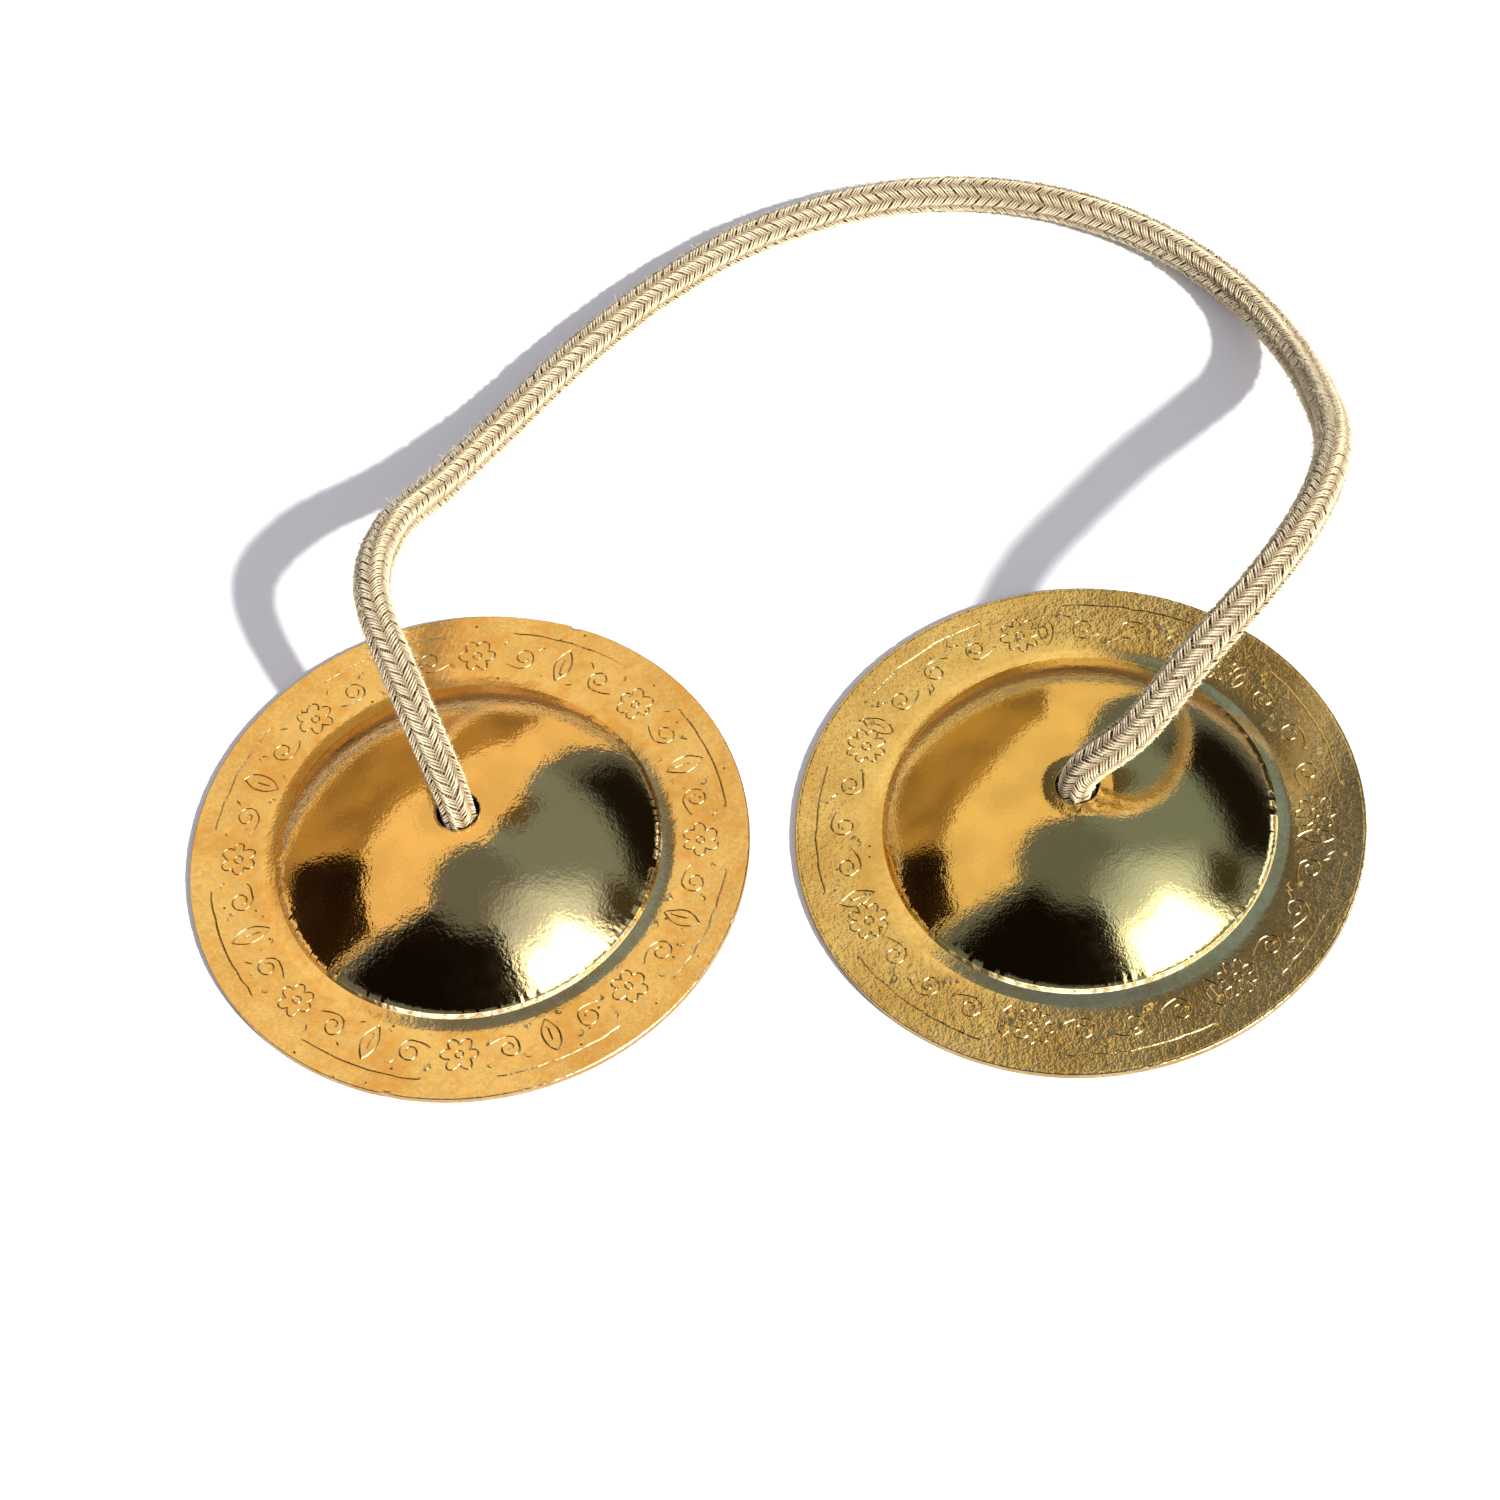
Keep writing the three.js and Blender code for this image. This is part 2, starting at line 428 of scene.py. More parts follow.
def tube_faces(first, rings, sides):
    """Faces of a closed tube whose corners start at the index first."""
    start = first + np.arange(rings - 1)[:, None] * sides
    side = np.arange(sides)[None, :]
    following = (side + 1) % sides
    far = start + sides
    quads = np.stack([start + side, start + following, far + following, far + side], axis=2)
    near_cap = [first + k for k in range(sides)][::-1]
    far_cap = [first + (rings - 1) * sides + k for k in range(sides)]
    return [*quads.reshape(-1, 4).tolist(), near_cap, far_cap]


def place_on_cord(along, angle, radius):
    angle = angle + twist_per_metre * along
    towards_normal = np.cos(angle)[:, None] * at(normal_line, along)
    towards_side = np.sin(angle)[:, None] * at(side_line, along)
    outward = towards_normal + towards_side
    return at(line, along) + outward * np.reshape(radius, (-1, 1)), outward


def braid_stretch(start, stop):
    corners, faces, tones, depths = [], [], [], []
    total = 0
    for yarn in yarns:
        stretch = cut(yarn, start, stop)
        if stretch is None:
            continue
        along, angle, heights, lift, tone = stretch
        scale = thickness_at(along)
        radius = scale * (top_radius - dip * (1 - heights) + lift * heights)
        points, outward = place_on_cord(along, angle, radius)
        points[:, 2] = np.maximum(points[:, 2], yarn_thickness)
        squeeze = np.minimum(scale, 1).mean()
        corners.append(sweep(points, outward, yarn_width * squeeze, yarn_thickness, yarn_sides))
        faces += tube_faces(total, len(points), yarn_sides)
        tones += [tone] * len(points) * yarn_sides
        # How deep each corner lies; the cotton paints deeper corners darker, as shade.
        dive = np.clip(1 - heights, 0, 1)[:, None]
        depths.append((dive + (1 - dive) * shade_round_yarn).ravel())
        total += len(points) * yarn_sides
    return corners, faces, tones, depths, total


# %% [markdown]
# Inside the braid runs a plain core, so that no light falls through the gaps between the stitches.
# It is coloured in the painted shade of the gaps.
# Outside it stand loose fibres: worn cotton is never smooth, and its edge looks blurred against the
# light. Most are short straight spikes, which make the fuzz. A few are longer and bent, and these show
# one by one, also in the shadow of the cord. They are worn short near the two crowns, where the cord
# rubs on the brass as it swings.

# %% Core and loose fibres
core_radius = 1.72 * mm
core_sides = 10
core_step = 2.0 * mm
fewest_core_rings = 3
short_fibres_per_metre = 60000
long_fibres_per_metre = 6000
short_width = 0.060 * mm
long_width = 0.045 * mm
short_range = (0.35, 0.95)
long_least = 0.8
long_spread = 0.4
long_extra = 1.2
fibre_rise = (0.5, 1.4)
fibre_lean = 0.8
fibre_bend = 0.7
small_tilt = 0.1
worn_reach = 24 * mm
least_worn_long = 0.35
least_worn_short = 0.6
above_floor = 0.05 * mm
three_sides = ((1.0, 0.0), (-0.5, 0.87), (-0.5, -0.87))
fibre_random = np.random.default_rng(11)


def core_stretch(start, stop, first):
    count = max(int((stop - start) / core_step), fewest_core_rings)
    along = np.linspace(start, stop, count)
    points = at(line, along)
    radius = core_radius * np.minimum(thickness_at(along), 1)
    turns = full_turn * np.arange(core_sides) / core_sides
    rings = (
        points[:, None, :]
        + at(normal_line, along)[:, None, :] * (np.cos(turns)[None, :, None] * radius[:, None, None])
        + at(side_line, along)[:, None, :] * (np.sin(turns)[None, :, None] * radius[:, None, None])
    )
    return rings.reshape(-1, 3), tube_faces(first, count, core_sides)


def fibre_roots(start, stop, per_metre):
    """Where fibres leave the cord, which way they point, their three sides and how worn they are."""
    count = int((stop - start) * per_metre)
    along = fibre_random.uniform(start, stop, count)
    angle = fibre_random.uniform(0, full_turn, count)
    base, outward = place_on_cord(along, angle, top_radius * np.minimum(thickness_at(along), 1))
    forward = at(tangent_line, along)
    sideways = np.cross(forward, outward)
    rise = fibre_random.uniform(*fibre_rise, count)[:, None]
    lean = fibre_random.normal(0, fibre_lean, (count, 2))
    heading = outward * rise + forward * lean[:, :1] + sideways * lean[:, 1:]
    heading /= np.linalg.norm(heading, axis=1)[:, None]
    flat = np.cross(heading, outward + small_tilt)
    flat /= np.linalg.norm(flat, axis=1)[:, None]
    upright = np.cross(heading, flat)
    from_crown = np.minimum(along - left_length, right_length - along)
    worn = np.clip(from_crown / worn_reach, least_worn_long, 1)[:, None]
    return base, heading, [x * flat + y * upright for x, y in three_sides], worn


def fibre_corners(rings, tip):
    corners = np.stack([*rings, tip], axis=1)
    corners[:, :, 2] = np.maximum(corners[:, :, 2], above_floor)
    return corners.reshape(-1, 3)


def repeated_faces(first, copies, corners_each, pattern):
    """The same faces for each copy of a small form, whose corners follow one another."""
    starts = range(first, first + copies * corners_each, corners_each)
    return [tuple(start + k for k in face) for start in starts for face in pattern]


def short_fibres(start, stop):
    base, heading, spread, worn = fibre_roots(start, stop, short_fibres_per_metre)
    worn = np.maximum(worn, least_worn_short)
    length = fibre_random.uniform(*short_range, len(base))[:, None] * mm * worn
    corners = fibre_corners([base + side * short_width / 2 for side in spread], base + heading * length)
    pattern = [(2, 1, 0), (0, 1, 3), (1, 2, 3), (2, 0, 3)]
    return corners, repeated_faces(0, len(base), 4, pattern)


def long_fibres(start, stop, first):
    base, heading, spread, worn = fibre_roots(start, stop, long_fibres_per_metre)
    extra = fibre_random.exponential(long_spread, len(base)).clip(0, long_extra)
    length = (long_least + extra)[:, None] * mm * worn
    middle = base + heading * length * 0.5
    bend = heading + fibre_random.normal(0, fibre_bend, (len(base), 3))
    tip = middle + bend / np.linalg.norm(bend, axis=1)[:, None] * length * 0.5
    rings = [point + side * long_width / 2 for point in (base, middle) for side in spread]
    pattern = [(2, 1, 0), (0, 1, 4, 3), (1, 2, 5, 4), (2, 0, 3, 5), (3, 4, 6), (4, 5, 6), (5, 3, 6)]
    return fibre_corners(rings, tip), repeated_faces(first, len(base), 7, pattern)


# %% [markdown]
# ## Helpers for materials
#
# A material is a small graph. Writing it node by node is long, so one helper adds a node, sets its
# options and fills its inputs. An input that gets another node's output is linked, and any other
# value is set on the socket.

# %% Node helpers


def fill_inputs(tree, node, inputs):
    for key, value in inputs.items():
        if isinstance(value, bpy.types.NodeSocket):
            tree.links.new(value, node.inputs[key])
        else:
            node.inputs[key].default_value = value


def add_node(tree, kind, inputs=None, **options):
    node = tree.nodes.new("ShaderNode" + kind)
    for key, value in options.items():
        setattr(node, key, value)
    fill_inputs(tree, node, inputs or {})
    return node


def sum_node(tree, operation, first, second=0.0):
    return add_node(tree, "Math", {0: first, 1: second}, operation=operation).outputs[0]


def ramp_node(tree, value, low, high, to_low=0.0, to_high=1.0):
    """Turns a value between low and high into one between two others, with soft ends."""
    inputs = {"Value": value, "From Min": low, "From Max": high, "To Min": to_low, "To Max": to_high}
    return add_node(tree, "MapRange", inputs, interpolation_type="SMOOTHSTEP").outputs["Result"]


def noise_node(tree, place, scale, detail):
    inputs = {"Vector": place, "Scale": scale, "Detail": detail}
    return add_node(tree, "TexNoise", inputs).outputs["Fac"]


def mix_colours(tree, factor, first, second):
    """A Mix node has sockets of its own for each kind of data; 6, 7 and 2 are those for colours."""
    return add_node(tree, "Mix", {0: factor, 6: first, 7: second}, data_type="RGBA").outputs[2]


def stored_number(tree, name):
    return add_node(tree, "Attribute", attribute_name=name, attribute_type="GEOMETRY").outputs["Fac"]


def new_material(name):
    material = bpy.data.materials.new(name)
    material.use_nodes = True
    tree = material.node_tree
    tree.nodes.clear()
    shader = add_node(tree, "BsdfPrincipled")
    add_node(tree, "OutputMaterial", {"Surface": shader.outputs[0]})
    return material, tree, shader


def new_group(name, inputs, outputs):
    """An empty shader group with named sockets; each input has a kind and a default value or None."""
    tree = bpy.data.node_groups.new(name, "ShaderNodeTree")
    for key, (kind, value) in inputs.items():
        socket = tree.interface.new_socket(name=key, in_out="INPUT", socket_type=kind)
        if value is not None:
            socket.default_value = value
    for key, kind in outputs.items():
        tree.interface.new_socket(name=key, in_out="OUTPUT", socket_type=kind)
    entry = tree.nodes.new("NodeGroupInput")
    finish = tree.nodes.new("NodeGroupOutput")
    return tree, entry.outputs, finish.inputs


def place_group(tree, group, inputs):
    node = tree.nodes.new("ShaderNodeGroup")
    node.node_tree = group
    fill_inputs(tree, node, inputs)
    return node.outputs


# %% [markdown]
# ## Cotton
#
# Natural cotton is a pale warm beige. Its yarns differ a little from one to the next, the hollows of
# the braid are painted in a dark shade, and it has a soft sheen at the edge, because the fibres catch
# light that comes from behind.

# %% Cotton material
cotton_light = (0.80, 0.70, 0.47, 1)
cotton_dark = (0.57, 0.46, 0.28, 1)
cotton_painted_shade = (0.16, 0.095, 0.045, 1)
cloud_scale = 160.0
fibre_scale = 5200.0
fibre_bump = 0.03 * mm


def cotton_material():
    material, tree, shader = new_material("cotton")
    place = add_node(tree, "TexCoord").outputs["Object"]
    cloud = noise_node(tree, place, cloud_scale, 3.0)
    fine = noise_node(tree, place, fibre_scale, 2.0)
    tone = sum_node(tree, "MULTIPLY", stored_number(tree, "tone"), 0.5)
    tone = sum_node(tree, "ADD", tone, ramp_node(tree, cloud, 0.35, 0.7, 0.0, 0.5))
    tone = sum_node(tree, "ADD", tone, ramp_node(tree, fine, 0.3, 0.7, -0.18, 0.18))
    colour = mix_colours(tree, tone, cotton_light, cotton_dark)
    # Painted shade: the stored depth darkens the colour towards a deep brown between and under the yarns.
    depth = ramp_node(tree, stored_number(tree, "depth"), 0.10, 0.90, 0.0, 0.92)
    colour = mix_colours(tree, depth, colour, cotton_painted_shade)
    tree.links.new(colour, shader.inputs["Base Color"])
    shader.inputs["Roughness"].default_value = 0.92
    shader.inputs["Sheen Weight"].default_value = 0.3
    shader.inputs["Sheen Roughness"].default_value = 0.5
    shader.inputs["Specular IOR Level"].default_value = 0.15
    bump = add_node(tree, "Bump", {"Height": fine, "Distance": fibre_bump, "Strength": 0.8})
    tree.links.new(bump.outputs[0], shader.inputs["Normal"])
    return material


cotton = cotton_material()

# %% [markdown]
# ## The cord in five stretches
#
# Each knot stays in the crown that it sits in, and the free cord swings. The neck between them
# crosses that joint. The loose fibres outside the bells are pieces of their own, cut at the same
# places. They start a little above the holes, so that none of them is pushed into the brass when the
# cord swings over.

# %% Make the stretches
neck_below = 4.2 * mm
neck_above = 6.0 * mm
fuzz_start = 1.6 * mm
core_tone = 0.5
fuzz_tone = 0.1


def finish_cord_piece(name, start, stop, corners, faces, tones, depths):
    numbers = {"tone": tones, "depth": np.concatenate(depths)}
    piece = make_piece(name, np.vstack(corners), faces, cotton, numbers)
    triangles = sum(len(face) - 2 for face in faces)
    print(f"{name}: {triangles} triangles over {(stop - start) / mm:.1f} mm")
    return piece


def cord_piece(name, start, stop):
    corners, faces, tones, depths, total = braid_stretch(start, stop)
    inner, inner_faces = core_stretch(start, stop, total)
    corners.append(inner)
    faces += inner_faces
    tones += [core_tone] * len(inner)
    # The core counts as deepest, so it is painted in the dark shade of the gaps.
    depths.append(np.ones(len(inner)))
    return finish_cord_piece(name, start, stop, corners, faces, tones, depths)


def fuzz_piece(name, start, stop):
    shorter, shorter_faces = short_fibres(start, stop)
    longer, longer_faces = long_fibres(start, stop, len(shorter))
    faces = shorter_faces + longer_faces
    total = len(shorter) + len(longer)
    tones = [fuzz_tone] * total
    return finish_cord_piece(name, start, stop, [shorter, longer], faces, tones, [np.zeros(total)])


left_knot = cord_piece("left_knot_braid", 0, left_length - neck_below)
left_neck = cord_piece("left_neck_braid", left_length - neck_below, left_length + neck_above)
free_cord = cord_piece("cord_braid", left_length + neck_above, right_length - neck_above)
right_neck = cord_piece("right_neck_braid", right_length - neck_above, right_length + neck_below)
right_knot = cord_piece("right_knot_braid", right_length + neck_below, whole_length)
left_fuzz = fuzz_piece("left_neck_fuzz", left_length + fuzz_start, left_length + neck_above)
cord_fuzz = fuzz_piece("cord_fuzz", left_length + neck_above, right_length - neck_above)
right_fuzz = fuzz_piece("right_neck_fuzz", right_length - neck_above, right_length - fuzz_start)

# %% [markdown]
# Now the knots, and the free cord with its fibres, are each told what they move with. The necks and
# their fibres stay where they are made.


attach(left_knot, "left_knot")
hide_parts("left_knot")
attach(right_knot, "right_knot")
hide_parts("right_knot")
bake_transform(left_neck)
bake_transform(right_neck)
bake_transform(left_fuzz)
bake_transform(right_fuzz)
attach(free_cord, "cord")
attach(cord_fuzz, "cord")
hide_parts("cord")

# %% [markdown]
# ## Brass
#
# Both discs are pressed from brass sheet, yet they don't look alike: the left one is warmer, with fine
# dark pits, and the right one is yellower, with a pebbled skin. Both share the same kinds of wear, so
# these are one shader group with its own values in each material: grain from the sheet, soft stains
# and small pits.

# %% Worn metal group
wide_grain = 0.31
wide_share = 1.3
stain_scale = 110.0
least_pit = 0.02
pit_edge = 0.001


def worn_metal_group():
    number, vector = "NodeSocketFloat", "NodeSocketVector"
    inputs = {
        "Place": (vector, None),
        "Grain Scale": (number, 2500.0),
        "Pit Scale": (number, 900.0),
        "Pit Size": (number, 0.2),
        "Pit Share": (number, 0.2),
    }
    outputs = {"Grain": number, "Pits": number, "Stain": number}
    tree, given, made = new_group("worn_metal", inputs, outputs)
    place = given["Place"]
    fine = noise_node(tree, place, given["Grain Scale"], 1.5)
    wide_scale = sum_node(tree, "MULTIPLY", given["Grain Scale"], wide_grain)
    wide = noise_node(tree, place, wide_scale, 1.0)
    grain = sum_node(tree, "ADD", fine, sum_node(tree, "MULTIPLY", wide, wide_share))
    cells = add_node(tree, "TexVoronoi", {"Vector": place, "Scale": given["Pit Scale"]})
    choice = add_node(tree, "SeparateColor", {"Color": cells.outputs["Color"]}).outputs["Red"]
    rare = sum_node(tree, "SUBTRACT", 1.0, given["Pit Share"])
    size = sum_node(tree, "MULTIPLY", ramp_node(tree, choice, rare, 1.0), given["Pit Size"])
    core = sum_node(tree, "MULTIPLY", size, 0.4)
    rim = sum_node(tree, "ADD", size, pit_edge)
    pit = sum_node(tree, "SUBTRACT", 1.0, ramp_node(tree, cells.outputs["Distance"], core, rim))
    pit = sum_node(tree, "MULTIPLY", pit, sum_node(tree, "GREATER_THAN", size, least_pit))
    clouds = {"Vector": place, "Scale": stain_scale, "Detail": 5.0, "Roughness": 0.65}
    stain = add_node(tree, "TexNoise", clouds)
    tree.links.new(grain, made["Grain"])
    tree.links.new(pit, made["Pits"])
    uneven_wear = sum_node(tree, "MULTIPLY", wide, 0.6)
    patchy = sum_node(tree, "ADD", stain.outputs["Fac"], uneven_wear)
    tree.links.new(ramp_node(tree, patchy, 0.62, 1.02), made["Stain"])
    return tree


worn_metal = worn_metal_group()

# %% [markdown]
# The polished bell and the grained flange are one sheet, so they are one material. Three numbers are
# stored on the mesh: whether a point is on the flange, how far out it lies between the foot of the
# bell and the rim, and how deep it lies in a cut or a nick. The skin gets rougher towards the rim.
# There is no clear film on this brass: it is bare metal, with a dark brown tarnish in every hollow.

# %% Brass materials
tarnish = (0.10, 0.045, 0.014, 1)
grain_low_colour = (0.30, 0.19, 0.07, 1)
fresh_cut = (0.95, 0.72, 0.36, 1)
pit_scale = 1000.0
bell_rough = 0.075
pit_dent = 0.8


def brass_material(name, colours, grain_scale, depths, flange_rough, pit_size, pit_share, grain_low_share):
    """colours are the bell's, the flange's, which is made lighter as a painted sheen of the bright
    surroundings, and a stain's; depths are those of the grain, see below.
    """
    bell_colour, flange_tone_and_sheen, stained = colours
    bell_depth, foot_depth, rim_depth = depths
    material, tree, shader = new_material(name)
    place = add_node(tree, "TexCoord").outputs["Object"]
    flange = stored_number(tree, "flange")
    outward = stored_number(tree, "outward")
    hollow = stored_number(tree, "hollow")
    wear = place_group(tree, worn_metal, {
        "Place": place,
        "Grain Scale": grain_scale,
        "Pit Scale": pit_scale,
        "Pit Size": pit_size,
        "Pit Share": pit_share,
    })
    stain = sum_node(tree, "MULTIPLY", wear["Stain"], ramp_node(tree, flange, 0, 1, 0.30, 0.95))
    # The flange is paler and lighter than the bell: its own tone with a painted sheen of the bright
    # surroundings.
    metal = mix_colours(tree, flange, bell_colour, flange_tone_and_sheen)
    metal = mix_colours(tree, stain, metal, stained)
    # The flange is darker where its grain lies low, more so towards the rim.
    low = sum_node(tree, "SUBTRACT", 1.0, ramp_node(tree, wear["Grain"], 0.95, 1.2))
    low = sum_node(tree, "MULTIPLY", low, sum_node(tree, "MULTIPLY", flange, grain_low_share))
    low = sum_node(tree, "MULTIPLY", low, ramp_node(tree, outward, 0.1, 0.9, 0.45, 1.0))
    metal = mix_colours(tree, low, metal, grain_low_colour)
    metal = mix_colours(tree, ramp_node(tree, hollow, 0.0, 0.35, 0.0, 0.6), metal, fresh_cut)
    pits = sum_node(tree, "MULTIPLY", wear["Pits"], ramp_node(tree, flange, 0, 1, 0.15, 0.9))
    dirt = sum_node(tree, "MAXIMUM", pits, ramp_node(tree, hollow, 0.45, 1.0, 0.0, 0.9))
    tree.links.new(mix_colours(tree, dirt, metal, tarnish), shader.inputs["Base Color"])
    rough = ramp_node(tree, flange, 0, 1, bell_rough, flange_rough)
    rough = sum_node(tree, "ADD", rough, ramp_node(tree, outward, 0, 1, 0.0, 0.04))
    rough = sum_node(tree, "ADD", rough, sum_node(tree, "MULTIPLY", wear["Stain"], 0.025))
    rough = sum_node(tree, "ADD", rough, sum_node(tree, "MULTIPLY", dirt, 0.25))
    tree.links.new(rough, shader.inputs["Roughness"])
    depth = ramp_node(tree, flange, 0, 1, bell_depth / rim_depth, foot_depth / rim_depth)
    deeper = ramp_node(tree, outward, 0.1, 0.8, 0.0, 1 - foot_depth / rim_depth)
    depth = sum_node(tree, "ADD", depth, deeper)
    height = sum_node(tree, "MULTIPLY", wear["Grain"], depth)
    height = sum_node(tree, "SUBTRACT", height, sum_node(tree, "MULTIPLY", pits, pit_dent))
    bump = add_node(tree, "Bump", {"Height": height, "Distance": rim_depth, "Strength": 1.0})
    tree.links.new(bump.outputs[0], shader.inputs["Normal"])
    shader.inputs["Metallic"].default_value = 1.0
    return material


# The three depths are those on the bell, on the flange next to its foot, and at the rim.
left_brass = brass_material(
    "left_brass", ((0.87, 0.61, 0.28, 1), (0.98, 0.79, 0.45, 1), (0.83, 0.53, 0.21, 1)),
    grain_scale=2600.0, depths=(0.017 * mm, 0.022 * mm, 0.030 * mm), flange_rough=0.16,
    pit_size=0.24, pit_share=0.14, grain_low_share=0.22,
)
right_brass = brass_material(
    "right_brass", ((0.81, 0.61, 0.26, 1), (0.97, 0.85, 0.50, 1), (0.74, 0.56, 0.25, 1)),
    grain_scale=3600.0, depths=(0.012 * mm, 0.013 * mm, 0.034 * mm), flange_rough=0.12,
    pit_size=0.20, pit_share=0.10, grain_low_share=0.36,
)

# %% [markdown]
# ## The engraved ornament
#
# A graver has cut thin lines into the flange, all round. The pattern here is a plain traditional one:
# a row of rosettes, scrolls and leaves, with a thin line along their outer side. Each figure is a list
# of strokes drawn in a flat strip, where u runs along the flange and v runs outwards, and the strip
# is then bent round the disc.

# %% Strokes of the ornament
ornament_radius = 28.9 * mm
stroke_width = 0.27 * mm
stroke_depth = 0.085 * mm
stroke_spacing = 0.2 * mm


def rosette(u, size, petals):
    turn = np.linspace(0, full_turn, 97)
    radius = size * (0.60 + 0.40 * np.abs(np.cos(petals / 2 * turn)) ** 0.8)
    outline = np.stack([u + radius * np.cos(turn), radius * np.sin(turn)], axis=1)
    turn = np.linspace(0, full_turn, 17)
    eye = np.stack([u + 0.22 * size * np.cos(turn), 0.22 * size * np.sin(turn)], axis=1)
    return [outline, eye]


def scroll(u, size, side, up=1):
    turn = np.linspace(0, 1.3 * full_turn, 60)
    radius = size * (1 - 0.68 * (turn / turn[-1]) ** 0.8)
    curl = np.stack([u + side * radius * np.sin(turn), -up * radius * np.cos(turn)], axis=1)
    reach = np.linspace(1, 0, 12)[:-1]
    stem = np.stack([u - side * size * 1.7 * reach, -up * size * (1 - 0.55 * reach ** 2)], axis=1)
    bud = np.linspace(0, 1, 9)
    sprig_u = u + side * size * (0.9 + 0.6 * bud)
    sprig_v = up * size * (0.75 + 0.5 * np.sin(bud * 1.9))
    return [np.vstack([stem, curl]), np.stack([sprig_u, sprig_v], axis=1)]


def leaf(u, height):
    rise = np.linspace(-1, 1, 21)
    bulge = height * 0.22 * (1 - rise ** 2)
    right = np.stack([u + bulge, rise * height / 2], axis=1)
    left = np.stack([u - bulge, rise * height / 2], axis=1)
    rib = np.stack([np.full(7, u), np.linspace(-0.3, 0.2, 7) * height], axis=1)
    return [np.vstack([right, left[::-1][1:]]), rib]


def dash(u, v, length, slope):
    along = np.linspace(-0.5, 0.5, 5) * length
    return [np.stack([u + along * math.cos(slope), v + along * math.sin(slope)], axis=1)]


def border(start, stop, v):
    along = np.linspace(start, stop, 40)
    return [np.stack([along, np.full(len(along), v)], axis=1)]


def left_ornament():
    """Eight rosettes, each between two scrolls, with a leaf in every gap."""
    count = 8
    unit = full_turn / count * ornament_radius
    strokes = []
    for k in range(count):
        u = k * unit
        strokes += rosette(u, 2.3 * mm, 6)
        for side in (-1, 1):
            strokes += scroll(u + side * 6.1 * mm, 1.6 * mm, side)
            strokes += dash(u + side * 3.5 * mm, 2.1 * mm, 1.1 * mm, side * 0.9)
            strokes += dash(u + side * 9.3 * mm, -2.2 * mm, 1.0 * mm, -side * 0.5)
        strokes += leaf(u + unit / 2, 4.8 * mm)
        strokes += border(u + 0.17 * unit, u + 0.83 * unit, 3.5 * mm)
    return strokes


def right_ornament():
    """A running tendril of scrolls that turn up and down by turns, with seven larger rosettes."""
    count = 7
    unit = full_turn / count * ornament_radius
    gaps_in_unit = 4.35
    strokes = []
    for k in range(count):
        u = k * unit
        strokes += rosette(u, 2.5 * mm, 8)
        for number, way in ((1, 1), (2, -1), (3, 1)):
            strokes += scroll(u + number * unit / gaps_in_unit, 1.55 * mm, 1, way)
            beside = u + (number + 0.42) * unit / gaps_in_unit
            strokes += dash(beside, way * 1.9 * mm, 1.2 * mm, way * 0.8)
        strokes += leaf(u + 0.87 * unit, 4.4 * mm)
        strokes += border(u + 0.14 * unit, u + 0.80 * unit, 3.45 * mm)
    return strokes


# %% [markdown]
# A stroke has three lines: its two edges, and its middle, which lies deeper. The flat top of the
# flange is filled with triangles that are made to follow all these lines, by a constrained Delaunay
# triangulation. So a cut is a true little valley with crisp edges, while the flat metal between the
# cuts needs few faces. A regular grid would need some hundred thousand faces for the same sharpness.
# The hand isn't steady: each stroke wavers a little, and it gets narrow and shallow at its ends.

# %% Cut the strokes
hand_wobble = 0.07 * mm
wobble_length = 1.2 * mm
stroke_taper = 0.5 * mm
hand_pressure = (0.6, 1.15)
pressure_points = 5
width_limits = (0.35, 1.1)
same_place = 0.05 * mm


def spaced(points, spacing):
    along = lengths_along(points)
    count = max(int(round(along[-1] / spacing)), 2)
    places = np.linspace(0, along[-1], count + 1)
    return np.stack([np.interp(places, along, points[:, k]) for k in range(2)], axis=1)


def bent_round(points):
    """From the flat strip to the disc."""
    radius = ornament_radius + points[:, 1]
    angle = points[:, 0] / ornament_radius
    return np.stack([radius * np.cos(angle), radius * np.sin(angle)], axis=1)


def is_ring(points):
    return np.linalg.norm(points[0] - points[-1]) < same_place


def wavering(points, random):
    """Slow random shifts along a stroke, the same at both ends of a ring."""
    marks = max(int(lengths_along(points)[-1] / wobble_length), 2) + 1
    shifts = random.normal(0, hand_wobble, (marks, 2))
    if is_ring(points):
        shifts[-1] = shifts[0]
    places = np.linspace(0, marks - 1, len(points))
    moved = [np.interp(places, np.arange(marks), shifts[:, k]) for k in range(2)]
    return points + np.stack(moved, axis=1)


def stroke_lines(centre, random):
    """Middle and edges of one stroke, and how strong it is at each point of its middle."""
    ring = is_ring(centre)
    if ring:
        centre = centre[:-1]
        heading = np.roll(centre, -1, axis=0) - np.roll(centre, 1, axis=0)
    else:
        heading = np.gradient(centre, axis=0)
    heading /= np.linalg.norm(heading, axis=1)[:, None]
    across = np.stack([-heading[:, 1], heading[:, 0]], axis=1)
    pressure = random.uniform(*hand_pressure, len(centre) + pressure_points - 1)
    strength = np.convolve(pressure, np.full(pressure_points, 1 / pressure_points), mode="valid")
    if not ring:
        along = lengths_along(centre)
        strength = strength * np.clip(np.minimum(along, along[-1] - along) / stroke_taper, 0, 1) ** 0.7
    half = (stroke_width / 2 * np.clip(strength, *width_limits))[:, None]
    left, right = centre + across * half, centre - across * half
    if not ring:
        left, right = left[1:-1], right[1:-1]
    return ring, centre, left, right, strength


class Drawing:
    """Points and lines that the triangles have to follow."""

    def __init__(self):
        self.points = []
        self.lines = []

    def add(self, points):
        first = len(self.points)
        self.points += [Vector(p) for p in points]
        return list(range(first, len(self.points)))

    def join(self, indices, closed=False):
        self.lines += list(zip(indices, indices[1:]))
        if closed:
            self.lines.append((indices[-1], indices[0]))


def draw_stroke(drawing, lines):
    ring, middle, left, right, _ = lines
    middle_ids = drawing.add(middle)
    drawing.join(middle_ids, closed=ring)
    for edge in (left, right):
        ids = drawing.add(edge)
        drawing.join(ids if ring else [middle_ids[0], *ids, middle_ids[-1]], closed=ring)


